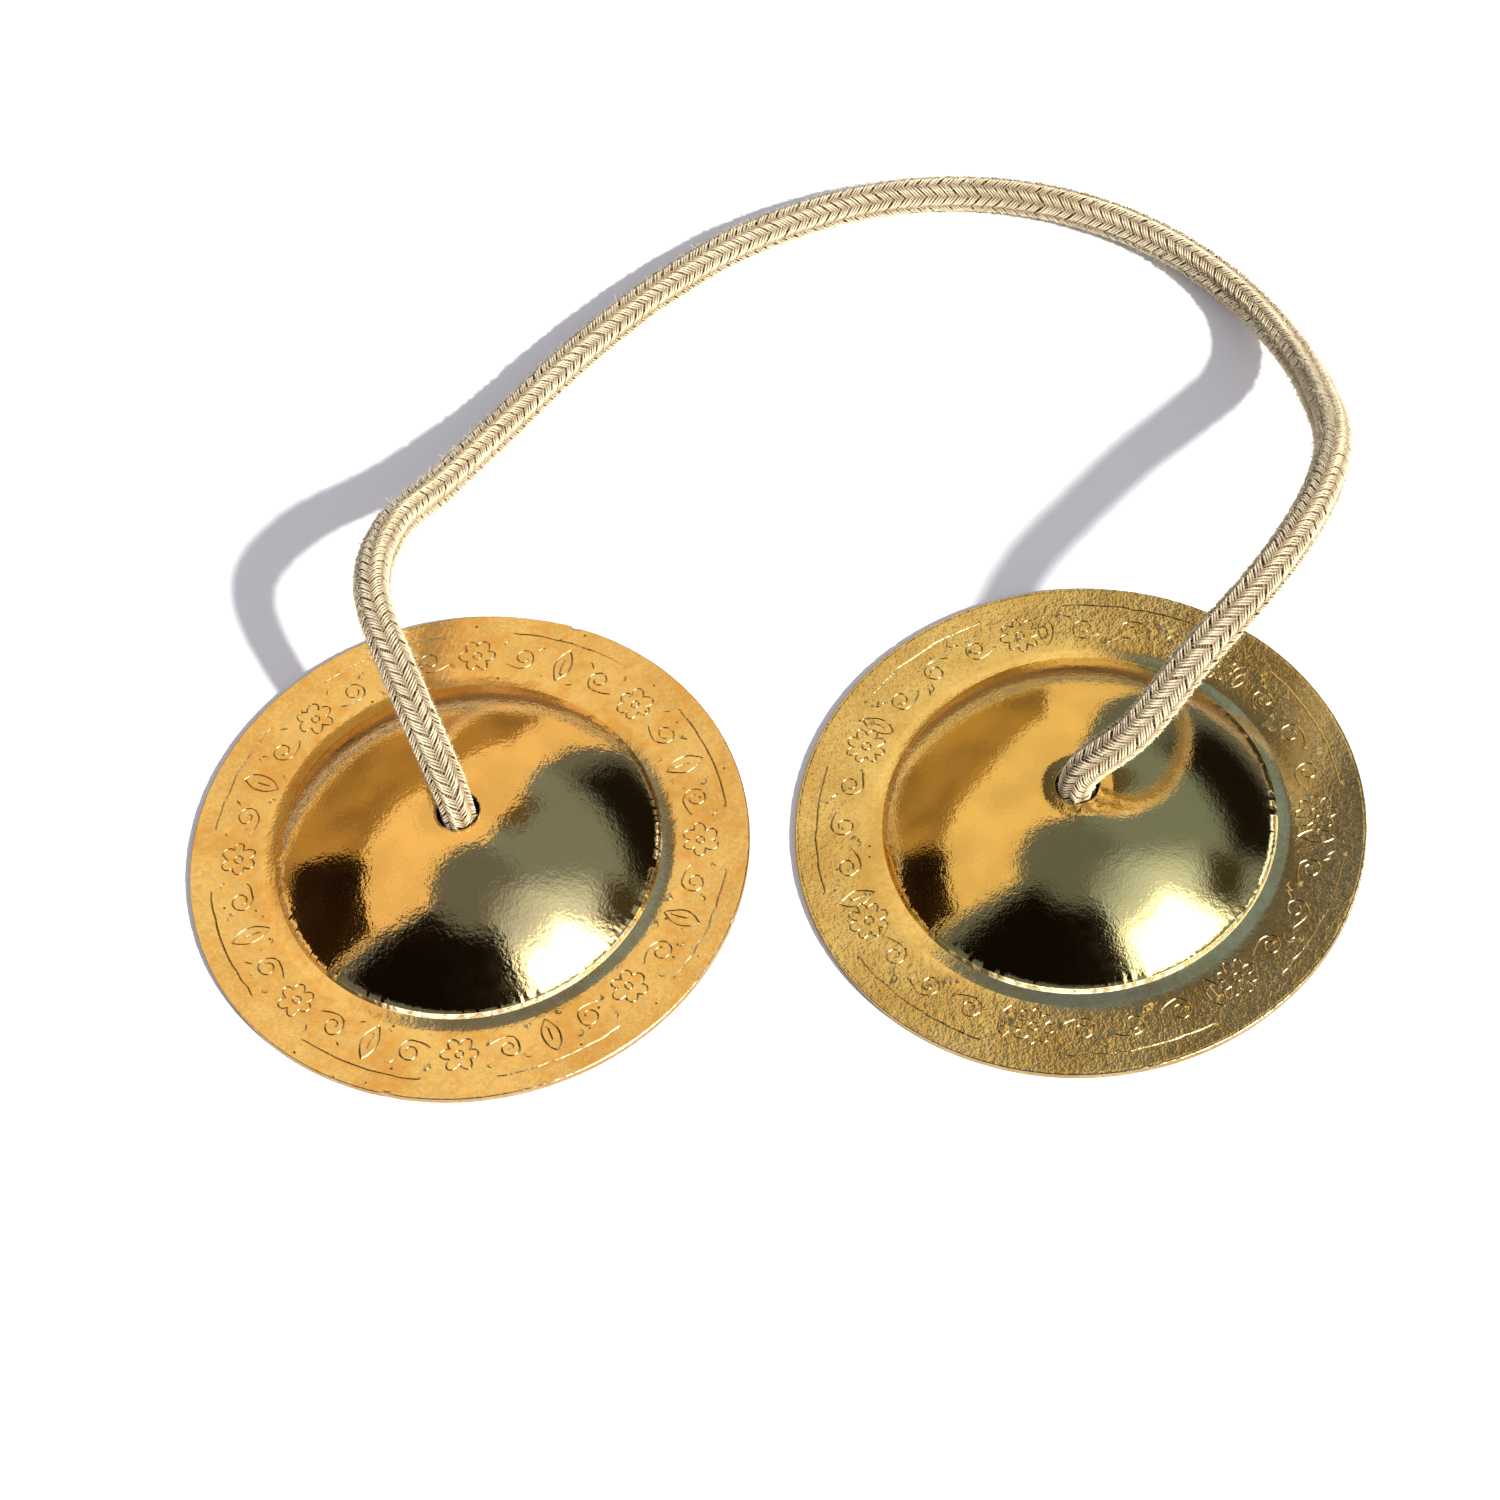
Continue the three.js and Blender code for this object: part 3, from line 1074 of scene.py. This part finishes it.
# %% [markdown]
# ## The disc
#
# The real disc is pressed from one sheet: a flat flange, a sharp turn up into the bell, and a hole at
# the crown. Its sizes are those of the plain model. The section is turned round the axis in fine
# steps, and the top of the flange comes from the triangles above. The press has left a steep narrow
# band at the foot of the bell, with short radial flutes, and the flange rises a little towards it.

# %% Sizes of the disc
low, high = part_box("left_cymbal")
rim_radius = (high.x - low.x) / 2
sheet = 1.0 * mm
foot_radius = 24.2 * mm
crown_height = 10.0 * mm
hole_radius = cord_diameter / 2 + 0.3 * mm
bell_rise = crown_height - sheet
bell_radius = (foot_radius ** 2 + bell_rise ** 2) / (2 * bell_rise)
bell_centre = crown_height - bell_radius
band_radius = foot_radius - 0.40 * mm
band_lift = 0.38 * mm
bell_lift = 0.30 * mm
rise_height = 0.36 * mm
rise_width = 2.0 * mm
rise_curve = 1.5
dimple_width = 2.2 * mm
flange_inner = foot_radius + 1.5 * mm
flange_outer = rim_radius - 0.45 * mm
turn_steps = 720
flute_depth = 0.042 * mm
print(f"rim radius {rim_radius / mm:.2f} mm, bell radius {bell_radius / mm:.2f} mm")


def eased_share(value, start, stop):
    share = np.clip((value - start) / (stop - start), 0, 1)
    return share * share * (3 - 2 * share)


def bell_height(radius, depth=0.0):
    return bell_centre + np.sqrt((bell_radius - depth) ** 2 - np.square(radius))


def skin_height(radius, dimple):
    """The upper face of the bell: a sphere, a little fuller outwards, and drawn in at the hole."""
    lift = bell_lift + band_lift * (radius / band_radius) ** 2
    drawn_in = dimple * (1 - eased_share(radius, hole_radius, hole_radius + dimple_width))
    return bell_height(radius) + lift - drawn_in


def flange_height(radius):
    """The flat upper face of the flange, which rises next to the bell."""
    share = np.clip(1 - (radius - foot_radius) / rise_width, 0, 1)
    return sheet + rise_height * share ** rise_curve


def rim_section():
    """From the top of the flange over the rim to the underside, as radius and height."""
    return [
        (rim_radius - 0.26 * mm, sheet + 0.03 * mm),
        (rim_radius - 0.12 * mm, sheet + 0.015 * mm),
        (rim_radius - 0.03 * mm, sheet - 0.07 * mm),
        (rim_radius, sheet - 0.2 * mm),
        (rim_radius, 0.22 * mm),
        (rim_radius - 0.06 * mm, 0.07 * mm),
        (rim_radius - 0.2 * mm, 0.0),
    ]


def underside_section():
    flat = [(r, 0.0) for r in np.linspace(rim_radius - 1.5 * mm, foot_radius + 0.9 * mm, 7)]
    turn = [(foot_radius + 0.25 * mm, 0.06 * mm), (foot_radius - 0.45 * mm, 0.38 * mm)]
    inside = np.linspace(foot_radius - 1.3 * mm, hole_radius + 0.05 * mm, 14)
    return flat + turn + [(r, bell_height(r, sheet)) for r in inside]


def hole_section(dimple):
    edge = hole_radius + 0.2 * mm
    top = skin_height(edge, dimple)
    low_edge = bell_height(hole_radius, sheet) + 0.15 * mm
    return [
        (hole_radius, low_edge),
        (hole_radius, top - 0.3 * mm),
        (hole_radius + 0.03 * mm, top - 0.12 * mm),
        (hole_radius + 0.1 * mm, top - 0.03 * mm),
    ]


def bell_section(dimple):
    near_hole = np.linspace(hole_radius + 0.2 * mm, hole_radius + dimple_width + 0.1 * mm, 9)
    shell = np.linspace(hole_radius + dimple_width + 0.8 * mm, band_radius, 30)
    return [(r, skin_height(r, dimple)) for r in [*near_hole, *shell]]


def band_section():
    """The steep band at the foot, from its top edge down to the flange."""
    top = bell_height(band_radius) + bell_lift + band_lift
    share = np.linspace(0, 1, 6)[1:]
    radius = band_radius + (foot_radius - band_radius) * share
    return list(zip(radius, top + (flange_height(foot_radius) - top) * share))


def rise_section():
    return [(r, flange_height(r)) for r in np.linspace(foot_radius, flange_inner, 8)[1:-1]]


# %% [markdown]
# Small errors make metal look real. Smooth noise pushes the bell up and down by a few hundredths of a
# millimetre, which bends the reflections. The flutes push the top edge of the band a little in or out
# at each step of the turn, and fade out towards its foot. The rim has a thin uneven burr and a few
# nicks, each given by its place and half its width in degrees, and by its depth.

# %% Unevenness
bell_waves = ((110.0, 0.030 * mm), (300.0, 0.009 * mm))
flange_waves = ((70.0, 0.030 * mm), (240.0, 0.008 * mm))
left_nicks = ((69.0, 1.1, 0.30 * mm), (-104.0, 1.5, 0.16 * mm), (-20.0, 0.5, 0.12 * mm))
right_nicks = ((128.0, 0.8, 0.10 * mm), (-152.0, 0.6, 0.08 * mm))
seed_shift = (1.7, 0.6, 2.3)
flute_spread = 1.5
burr_height = 0.012 * mm
burr_share = 0.0004
deep_nick = 0.25 * mm


def waviness(points, waves, seed):
    """How far a surface waves up or down at each point; every wave has a scale and a depth."""
    shift = Vector([seed * x for x in seed_shift])
    heights = []
    for x, y in points:
        place = Vector((x, y, 0))
        heights.append(sum(depth * noise.noise(place * scale + shift) for scale, depth in waves))
    return np.array(heights)


def nick_depths(nicks):
    """How far the rim is pushed in at each step of the turn."""
    angles = 360 * np.arange(turn_steps) / turn_steps
    total = np.zeros(turn_steps)
    for place, width, depth in nicks:
        offset = (angles - place + 180) % 360 - 180
        total += depth * np.clip(1 - np.abs(offset) / width, 0, 1)
    return total


def soft_turn(values):
    """Each value of one turn, softened with its two neighbours."""
    return 0.5 * values + 0.25 * np.roll(values, 1) + 0.25 * np.roll(values, -1)


def turned_rings(section, flute_shares, seed, nicks, random):
    """Corners of the section turned round the axis, ring by ring, and their hollows."""
    angles = full_turn * np.arange(turn_steps) / turn_steps
    circle = np.stack([np.cos(angles), np.sin(angles)], axis=1)
    flutes = soft_turn(random.normal(0, flute_spread, turn_steps))
    flutes = flutes.clip(-flute_spread, flute_spread) * flute_depth
    burr = soft_turn(random.normal(0, 1, turn_steps))
    pushed = nick_depths(nicks)
    corners, hollows = [], []
    for k, (radius, height) in enumerate(section):
        flat = circle * radius
        level = np.full(turn_steps, float(height))
        hollow = np.zeros(turn_steps)
        upper_face = height > bell_height(min(radius, foot_radius)) - 0.25 * sheet
        if upper_face and radius <= band_radius:
            fade = eased_share(foot_radius - radius, 0.5 * mm, 6 * mm)
            fade = fade * eased_share(radius, hole_radius, 5 * mm)
            level = level + waviness(flat, bell_waves, seed) * fade
        flat = flat * (1 + flutes * flute_shares[k] / radius)[:, None]
        if radius > flange_outer and height > 0.05 * mm:
            share = 1 if height > sheet / 2 else 0.5
            flat = flat * (1 - pushed * share / radius)[:, None]
            hollow = np.clip(pushed / deep_nick, 0, 1)
        if abs(height - sheet) < 0.1 * mm and radius > flange_outer:
            level = level + burr * burr_height - pushed * 0.5
            flat = flat * (1 + burr[:, None] * burr_share)
        corners.append(np.column_stack([flat, level]))
        hollows.append(hollow)
    return np.vstack(corners), np.concatenate(hollows)


def ring_faces(first_ids, second_ids):
    """Faces between two rings of the same number of corners."""
    pairs = zip(first_ids, first_ids[1:] + first_ids[:1], second_ids[1:] + second_ids[:1], second_ids)
    return [tuple(face) for face in pairs]


# %% [markdown]
# The top of the flange is built in four moves: draw the two border circles, draw the strokes, sprinkle
# points over what is left, and let Blender fill it with triangles. A nearest-point search then tells
# how far each corner lies from the middle of a stroke, and so how deep it is.

# %% Top of the flange
fill_spacing = 0.85 * mm
fine_spacing = 0.04 * mm
border_fade = 0.5 * mm
clear_of_stroke = 0.36 * mm
cut_reach = 0.36
merge_distance = 1e-7


def stroke_search(strokes):
    """The middles of all strokes as one search tree, with the strength at each of its points."""
    places, strengths = [], []
    for _, middle, _, _, strength in strokes:
        along = lengths_along(middle)
        fine = np.arange(0, along[-1], fine_spacing)
        places.append(np.stack([np.interp(fine, along, middle[:, k]) for k in range(2)], axis=1))
        strengths.append(np.interp(fine, along, strength))
    tree = kdtree.KDTree(sum(len(p) for p in places))
    for i, (x, y) in enumerate(np.vstack(places)):
        tree.insert((x, y, 0), i)
    tree.balance()
    return tree, np.concatenate(strengths)


def fill_points(tree, random):
    """Points spread over the bare metal, clear of the strokes."""
    points = []
    for radius in np.arange(flange_inner + 0.35 * mm, flange_outer - 0.2 * mm, fill_spacing):
        count = int(full_turn * radius / fill_spacing)
        turns = full_turn * (np.arange(count) + random.uniform(0, 1)) / count
        ring = np.stack([np.cos(turns), np.sin(turns)], axis=1) * radius
        points += [p for p in ring if tree.find((*p, 0))[2] > clear_of_stroke]
    return points


def flange_top(ornament, seed, random):
    drawing = Drawing()
    angles = full_turn * np.arange(turn_steps) / turn_steps
    circle = np.stack([np.cos(angles), np.sin(angles)], axis=1)
    border_ids = [drawing.add(circle * radius) for radius in (flange_inner, flange_outer)]
    for ids in border_ids:
        drawing.join(ids, closed=True)
    strokes = []
    for outline in ornament:
        centre = bent_round(wavering(spaced(outline, stroke_spacing), random))
        strokes.append(stroke_lines(centre, random))
        draw_stroke(drawing, strokes[-1])
    tree, strengths = stroke_search(strokes)
    drawing.add(fill_points(tree, random))
    filled = delaunay_2d_cdt(drawing.points, drawing.lines, [], 0, merge_distance, True)
    points, _, faces, origin, _, _ = filled
    new_id = {old: new for new, olds in enumerate(origin) for old in olds}
    flat = np.array([(p.x, p.y) for p in points])
    found = [tree.find((x, y, 0)) for x, y in flat]
    half_cut = stroke_width * cut_reach
    deep = np.array([max(1 - f[2] / half_cut, 0) * min(strengths[f[1]], 1) for f in found])
    radius = np.hypot(flat[:, 0], flat[:, 1])
    fade = np.clip(np.minimum(radius - flange_inner, flange_outer - radius) / border_fade, 0, 1)
    level = flange_height(radius) + (waviness(flat, flange_waves, seed + 20) - deep * stroke_depth) * fade
    middles = [np.hypot(*flat[list(f)].mean(axis=0)) for f in faces]
    kept = [tuple(f) for f, r in zip(faces, middles) if r > flange_inner * 1.0002]
    inner, outer = [[new_id[i] for i in ids] for ids in border_ids]
    return np.column_stack([flat, level]), kept, deep, inner, outer


# %% [markdown]
# The parts are joined into one closed mesh: flange, rim, underside, hole and bell. It is stood at its
# place in the model, and its three numbers for the material are stored.

# %% Build one disc
left_dimple = 0.05 * mm
right_dimple = 0.24 * mm
sharp_edge = math.radians(24)


def disc_piece(name, node, material, seed, ornament, dimple, nicks):
    random = np.random.default_rng(seed)
    top, faces, deep, inner, outer = flange_top(ornament, seed, random)
    still = rim_section() + underside_section() + hole_section(dimple) + bell_section(dimple)
    band = band_section()
    section = still + band + rise_section()
    flute_shares = np.zeros(len(section))
    flute_shares[len(still) - 1:len(still) + len(band)] = np.linspace(1, 0, len(band) + 1)
    rings, nicked = turned_rings(section, flute_shares, seed, nicks, random)
    first = len(top)
    ids = [list(range(first + k * turn_steps, first + (k + 1) * turn_steps)) for k in range(len(section))]
    order = [outer, *ids, inner]
    for near, far in zip(order, order[1:]):
        faces += ring_faces(near, far)
    corners = np.vstack([top, rings])
    radius = np.hypot(corners[:, 0], corners[:, 1])
    box_low, box_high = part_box(node)
    corners[:, 0] += (box_low.x + box_high.x) / 2
    numbers = {
        "flange": (radius > foot_radius - 0.02 * mm).astype(float),
        "outward": np.clip((radius - foot_radius) / (rim_radius - foot_radius), 0, 1),
        "hollow": np.concatenate([deep, nicked]),
    }
    piece = make_piece(name, corners, faces, material, numbers, sharp_edge)
    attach(piece, node)
    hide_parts(node)
    print(f"{name}: {sum(len(face) - 2 for face in faces)} triangles")


disc_piece("left_disc", "left_cymbal", left_brass, 3, left_ornament(), left_dimple, left_nicks)
disc_piece("right_disc", "right_cymbal", right_brass, 5, right_ornament(), right_dimple, right_nicks)

# %% [markdown]
# ## Light and floor
#
# Polished brass shows what surrounds it, so the studio matters as much as the metal. The far
# surroundings are drawn in the world: a cool sky to the right, a blaze of light round the lamp, dark
# cards and a low bright horizon. They are soft patches placed by azimuth and elevation, in degrees,
# and only glossy rays see them. The floor and the cotton get an even, slightly blue light instead,
# which keeps their shadows clean.

# %% Far surroundings
zenith_colour = (0.15, 0.175, 0.20, 1)
even_light = (0.50, 0.495, 0.54, 1)
backdrop_colour = (0.93, 0.93, 0.94, 1)
patches = [
    # name, azimuth, half width, elevation, half height, softness and colour
    ("horizon", -50, 82, 2, 7, 3, (2.1, 2.4, 3.1, 1)),
    ("sky", 22, 60, 54, 21, 4, (0.215, 0.28, 0.32, 1)),
    ("dark_back", 85, 24, 56, 8, 3, (0.125, 0.095, 0.062, 1)),
    ("halo", -32, 38, 49, 24, 16, (0.80, 0.98, 1.15, 1)),
    ("blaze", -38, 22, 42, 15.5, 6, (5.0, 5.0, 4.6, 1)),
    ("dark_front", -112, 45, 51, 22, 4, (0.005, 0.003, 0.002, 1)),
    ("dark_shoulder", 2, 12, 36, 9, 6, (0.05, 0.045, 0.025, 1)),
    ("dark_right", 37, 24, 20, 13, 5, (0.010, 0.008, 0.005, 1)),
]


def soft_patch_group():
    number = "NodeSocketFloat"
    heading = ("Azimuth", "Elevation")
    patch = ("Centre Azimuth", "Half Width", "Centre Elevation", "Half Height", "Softness")
    inputs = {name: (number, 0.0) for name in heading + patch}
    tree, given, made = new_group("soft_patch", inputs, {"Mask": number})

    def edge(offset, half):
        distance = sum_node(tree, "ABSOLUTE", offset)
        near = sum_node(tree, "SUBTRACT", given[half], given["Softness"])
        far = sum_node(tree, "ADD", given[half], given["Softness"])
        return sum_node(tree, "SUBTRACT", 1.0, ramp_node(tree, distance, near, far))

    turn = sum_node(tree, "SUBTRACT", given["Azimuth"], given["Centre Azimuth"])
    turn = add_node(tree, "Math", {0: turn, 1: -180.0, 2: 180.0}, operation="WRAP").outputs[0]
    climb = sum_node(tree, "SUBTRACT", given["Elevation"], given["Centre Elevation"])
    mask = sum_node(tree, "MULTIPLY", edge(turn, "Half Width"), edge(climb, "Half Height"))
    tree.links.new(mask, made["Mask"])
    return tree


def surroundings():
    world = bpy.data.worlds.new("surroundings")
    scene.world = world
    world.use_nodes = True
    tree = world.node_tree
    tree.nodes.clear()
    heading = add_node(tree, "TexCoord").outputs["Generated"]
    parts = add_node(tree, "SeparateXYZ", {0: heading}).outputs
    azimuth = sum_node(tree, "DEGREES", sum_node(tree, "ARCTAN2", parts["Y"], parts["X"]))
    elevation = sum_node(tree, "DEGREES", sum_node(tree, "ARCSINE", parts["Z"]))
    group = soft_patch_group()
    colour = zenith_colour
    for _, turn, width, climb, height, soft, shade in patches:
        values = {
            "Azimuth": azimuth, "Elevation": elevation, "Centre Azimuth": turn, "Half Width": width,
            "Centre Elevation": climb, "Half Height": height, "Softness": soft,
        }
        colour = mix_colours(tree, place_group(tree, group, values)["Mask"], colour, shade)
    rays = add_node(tree, "LightPath").outputs
    colour = mix_colours(tree, rays["Is Diffuse Ray"], colour, even_light)
    colour = mix_colours(tree, rays["Is Camera Ray"], colour, backdrop_colour)
    background = add_node(tree, "Background", {"Color": colour})
    add_node(tree, "OutputWorld", {"Surface": background.outputs[0]})


surroundings()

# %% [markdown]
# A near thing shows at another place in each bell, which the far surroundings can't do. So a large
# warm screen leans over the pair from the left and the back, with a brown and a nearly black panel
# before it. They are glowing sheets, bent round the pair, and each bell shows them from its own
# side. Only reflections see them: they throw no light and no shadow.

# %% Near screens
screen_middle = Vector((left_pivot[0], 0.0, 0.0))
screen_steps = 24
screen_cloud_scale = 9.0


def glowing(name, colour, unevenness):
    material = bpy.data.materials.new(name)
    material.use_nodes = True
    tree = material.node_tree
    tree.nodes.clear()
    place = add_node(tree, "TexCoord").outputs["Object"]
    cloud = noise_node(tree, place, screen_cloud_scale, 3.0)
    strength = ramp_node(tree, cloud, 0.3, 0.7, 1 - unevenness, 1 + unevenness)
    glow = add_node(tree, "Emission", {"Color": colour, "Strength": strength})
    add_node(tree, "OutputMaterial", {"Surface": glow.outputs[0]})
    material.cycles.emission_sampling = "NONE"
    return material


def screen(name, rows, colour, unevenness):
    """Each row is a height, a distance from the middle, and the azimuths where it starts and ends."""
    corners = []
    for height, distance, start, stop in rows:
        for angle in np.radians(np.linspace(start, stop, screen_steps + 1)):
            offset = Vector((math.cos(angle) * distance, math.sin(angle) * distance, height))
            corners.append(tuple(screen_middle + offset))
    width = screen_steps + 1
    faces = [
        (k + i, k + i + 1, k + width + i + 1, k + width + i)
        for k in range(0, (len(rows) - 1) * width, width) for i in range(screen_steps)
    ]
    sheet_piece = make_piece(name, corners, faces, glowing(name, colour, unevenness))
    sheet_piece.visible_camera = False
    sheet_piece.visible_diffuse = False
    sheet_piece.visible_shadow = False


screen("warm_screen", [
    (0.020, 0.340, 62, 200), (0.100, 0.322, 69, 200), (0.235, 0.292, 72, 200),
    (0.325, 0.271, 70, 200), (0.480, 0.234, 78, 200), (0.634, 0.200, 82, 196),
], (1.0, 0.74, 0.35, 1), 0.12)
screen("brown_panel", [
    (0.030, 0.300, 81, 165), (0.130, 0.298, 84, 163), (0.190, 0.290, 98, 160), (0.262, 0.285, 117, 158),
], (0.42, 0.26, 0.080, 1), 0.3)
screen("black_panel", [
    (0.060, 0.285, 158, 200), (0.200, 0.282, 155, 198), (0.310, 0.278, 160, 196),
], (0.022, 0.011, 0.005, 1), 0.4)

# %% [markdown]
# The main lamp is far away, so it is a sun lamp with a soft disc. It gives the long shadows that fall
# to the back and left. The floor is a large pale sheet, and isn't part of the object. It would look
# too bright in the brass, so reflections see it painted in a softer tone, and close behind the cymbals
# in brown, as a painted shadow.

# %% Lamp and floor
lamp_azimuth = math.radians(-41)
lamp_elevation = math.radians(39.5)
lamp_strength = 6.2
lamp_size = math.radians(2.4)
lamp_colour = (1.0, 0.965, 0.90)
floor_size = 3.0
floor_colour = (0.85, 0.85, 0.865, 1)
floor_in_brass = (0.42, 0.35, 0.31, 1)
near_floor_painted_shadow = (0.12, 0.065, 0.025, 1)
near_floor_reach = (92 * mm, 122 * mm)
near_floor_front = (-6 * mm, 12 * mm)


def add_lamp():
    data = bpy.data.lights.new("key_lamp", "SUN")
    data.energy = lamp_strength
    data.angle = lamp_size
    data.color = lamp_colour
    lamp = bpy.data.objects.new("key_lamp", data)
    towards = Vector((
        math.cos(lamp_azimuth) * math.cos(lamp_elevation),
        math.sin(lamp_azimuth) * math.cos(lamp_elevation),
        math.sin(lamp_elevation),
    ))
    lamp.rotation_euler = towards.to_track_quat("Z", "Y").to_euler()
    lamp.location = towards
    scene.collection.objects.link(lamp)


def add_floor():
    material, tree, shader = new_material("pale_floor")
    place = add_node(tree, "SeparateXYZ", {0: add_node(tree, "TexCoord").outputs["Object"]}).outputs
    aside = sum_node(tree, "SUBTRACT", sum_node(tree, "ABSOLUTE", place["X"]), right_pivot[0])
    sides = (sum_node(tree, "ABSOLUTE", aside), place["Y"])
    squares = [sum_node(tree, "POWER", side, 2.0) for side in sides]
    distance = sum_node(tree, "SQRT", sum_node(tree, "ADD", *squares))
    # Close behind the cymbals the floor seen in the brass is painted brown, as a shadow.
    near = ramp_node(tree, distance, *near_floor_reach, 1.0, 0.0)
    near = sum_node(tree, "MULTIPLY", near, ramp_node(tree, place["Y"], *near_floor_front))
    seen_in_brass = mix_colours(tree, near, floor_in_brass, near_floor_painted_shadow)
    glossy = add_node(tree, "LightPath").outputs["Is Glossy Ray"]
    tree.links.new(mix_colours(tree, glossy, floor_colour, seen_in_brass), shader.inputs["Base Color"])
    shader.inputs["Roughness"].default_value = 0.9
    half = floor_size / 2
    corners = [(-half, -half, 0), (half, -half, 0), (half, half, 0), (-half, half, 0)]
    floor = make_piece("floor", corners, [(0, 1, 2, 3)], material)


add_lamp()
add_floor()
scene.view_settings.view_transform = "Standard"
